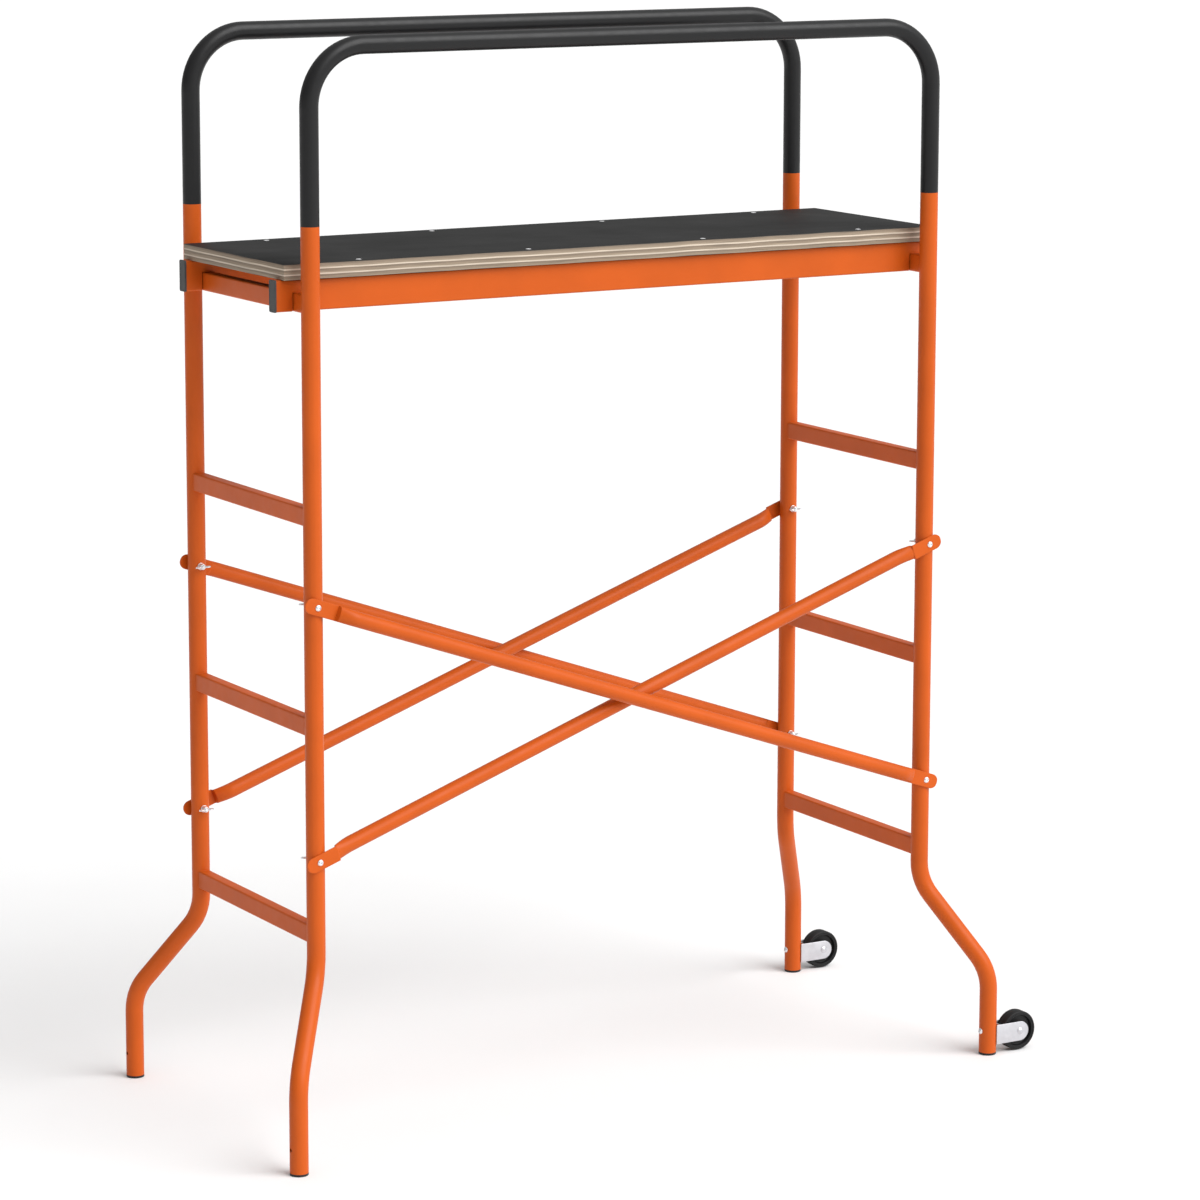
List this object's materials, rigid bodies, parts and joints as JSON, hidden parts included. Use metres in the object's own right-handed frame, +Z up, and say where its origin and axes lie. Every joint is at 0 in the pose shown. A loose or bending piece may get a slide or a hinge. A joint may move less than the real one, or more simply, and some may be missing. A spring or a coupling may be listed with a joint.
{
  "type": "baker scaffold",
  "caption": "Narrow baker scaffold with outswept legs, bolted cross braces, tilt wheels at one end, a lift-off plywood deck and lift-off guard rails.",
  "frame": {"origin": "on the floor, at the middle of the overall length and width", "axes": "+X along the scaffold towards the wheels, +Y across it, +Z up"},
  "size_m": [1.436, 0.6502, 1.779],
  "materials": {
    "orange_powder_coat": "satin orange powder coat on steel tube",
    "black_powder_coat": "satin black powder coat on steel tube",
    "zinc_plated_steel": "bright zinc plate",
    "film_faced_plywood": "dark film face, bare layered edges",
    "tyre_rubber": "matt black rubber",
    "wheel_plastic": "moulded black plastic",
    "black_plastic": "moulded dark grey plastic"
  },
  "bodies": {
    "frame": {"post_left_front": "orange_powder_coat", "post_left_rear": "orange_powder_coat", "post_right_front": "orange_powder_coat", "post_right_rear": "orange_powder_coat", "rung_left_low": "orange_powder_coat", "rung_left_middle": "orange_powder_coat", "rung_left_high": "orange_powder_coat", "rung_right_low": "orange_powder_coat", "rung_right_middle": "orange_powder_coat", "rung_right_high": "orange_powder_coat", "bearer_left": "orange_powder_coat", "bearer_right": "orange_powder_coat", "foot_plug_left_front": "black_plastic", "foot_plug_left_rear": "black_plastic", "foot_plug_right_front": "black_plastic", "foot_plug_right_rear": "black_plastic", "brace_front_outer": "orange_powder_coat", "brace_front_inner": "orange_powder_coat", "brace_rear_outer": "orange_powder_coat", "brace_rear_inner": "orange_powder_coat", "brace_bolts": "zinc_plated_steel", "brace_washers": "zinc_plated_steel", "wheel_fork_front": "zinc_plated_steel", "wheel_fork_rear": "zinc_plated_steel", "fork_bolts": "zinc_plated_steel", "fork_nuts": "zinc_plated_steel", "axle_rivets": "zinc_plated_steel"},
    "wheel_front": {"tyre_front": "tyre_rubber", "wheel_centre_front": "wheel_plastic", "wheel_bush_front": "zinc_plated_steel"},
    "wheel_rear": {"tyre_rear": "tyre_rubber", "wheel_centre_rear": "wheel_plastic", "wheel_bush_rear": "zinc_plated_steel"},
    "guard_rail_front": {"guard_rail_front": "black_powder_coat", "guard_spigots_front": "zinc_plated_steel"},
    "guard_rail_rear": {"guard_rail_rear": "black_powder_coat", "guard_spigots_rear": "zinc_plated_steel"},
    "deck": {"deck_board": "film_faced_plywood", "deck_rail_front": "orange_powder_coat", "deck_rail_rear": "orange_powder_coat", "crossbar_left": "orange_powder_coat", "crossbar_middle": "orange_powder_coat", "crossbar_right": "orange_powder_coat", "deck_end_caps": "black_plastic", "deck_screws": "zinc_plated_steel"},
    "wing_nut_left_front_low": {"wing_nut_left_front_low": "zinc_plated_steel"},
    "wing_nut_left_front_high": {"wing_nut_left_front_high": "zinc_plated_steel"},
    "wing_nut_left_rear_low": {"wing_nut_left_rear_low": "zinc_plated_steel"},
    "wing_nut_left_rear_high": {"wing_nut_left_rear_high": "zinc_plated_steel"},
    "wing_nut_right_front_low": {"wing_nut_right_front_low": "zinc_plated_steel"},
    "wing_nut_right_front_high": {"wing_nut_right_front_high": "zinc_plated_steel"},
    "wing_nut_right_rear_low": {"wing_nut_right_rear_low": "zinc_plated_steel"},
    "wing_nut_right_rear_high": {"wing_nut_right_rear_high": "zinc_plated_steel"}
  },
  "joints": [
    {"name": "wheel_front_spin", "type": "hinge", "parent": "frame", "child": "wheel_front", "pos_m": [0.684, -0.308, 0.035], "axis": [0, 1, 0], "continuous": true},
    {"name": "wheel_rear_spin", "type": "hinge", "parent": "frame", "child": "wheel_rear", "pos_m": [0.684, 0.308, 0.035], "axis": [0, 1, 0], "continuous": true},
    {"name": "guard_rail_front_lift", "type": "slide", "parent": "frame", "child": "guard_rail_front", "axis": [0, 0, 1], "range_m": [0, 0.12]},
    {"name": "guard_rail_rear_lift", "type": "slide", "parent": "frame", "child": "guard_rail_rear", "axis": [0, 0, 1], "range_m": [0, 0.12]},
    {"name": "deck_lift", "type": "slide", "parent": "frame", "child": "deck", "axis": [0, 0, 1], "range_m": [0, 0.45]},
    {"name": "wing_nut_left_front_low_turn", "type": "hinge", "parent": "frame", "child": "wing_nut_left_front_low", "pos_m": [-0.621, -0.19, 0.47798], "axis": [0, 1, 0], "continuous": true},
    {"name": "wing_nut_left_front_high_turn", "type": "hinge", "parent": "frame", "child": "wing_nut_left_front_high", "pos_m": [-0.621, -0.19, 0.88799], "axis": [0, 1, 0], "continuous": true},
    {"name": "wing_nut_left_rear_low_turn", "type": "hinge", "parent": "frame", "child": "wing_nut_left_rear_low", "pos_m": [-0.621, 0.19, 0.47798], "axis": [0, 1, 0], "continuous": true},
    {"name": "wing_nut_left_rear_high_turn", "type": "hinge", "parent": "frame", "child": "wing_nut_left_rear_high", "pos_m": [-0.621, 0.19, 0.88799], "axis": [0, 1, 0], "continuous": true},
    {"name": "wing_nut_right_front_low_turn", "type": "hinge", "parent": "frame", "child": "wing_nut_right_front_low", "pos_m": [0.543, -0.19, 0.47798], "axis": [0, 1, 0], "continuous": true},
    {"name": "wing_nut_right_front_high_turn", "type": "hinge", "parent": "frame", "child": "wing_nut_right_front_high", "pos_m": [0.543, -0.19, 0.88799], "axis": [0, 1, 0], "continuous": true},
    {"name": "wing_nut_right_rear_low_turn", "type": "hinge", "parent": "frame", "child": "wing_nut_right_rear_low", "pos_m": [0.543, 0.19, 0.47798], "axis": [0, 1, 0], "continuous": true},
    {"name": "wing_nut_right_rear_high_turn", "type": "hinge", "parent": "frame", "child": "wing_nut_right_rear_high", "pos_m": [0.543, 0.19, 0.88799], "axis": [0, 1, 0], "continuous": true}
  ]
}
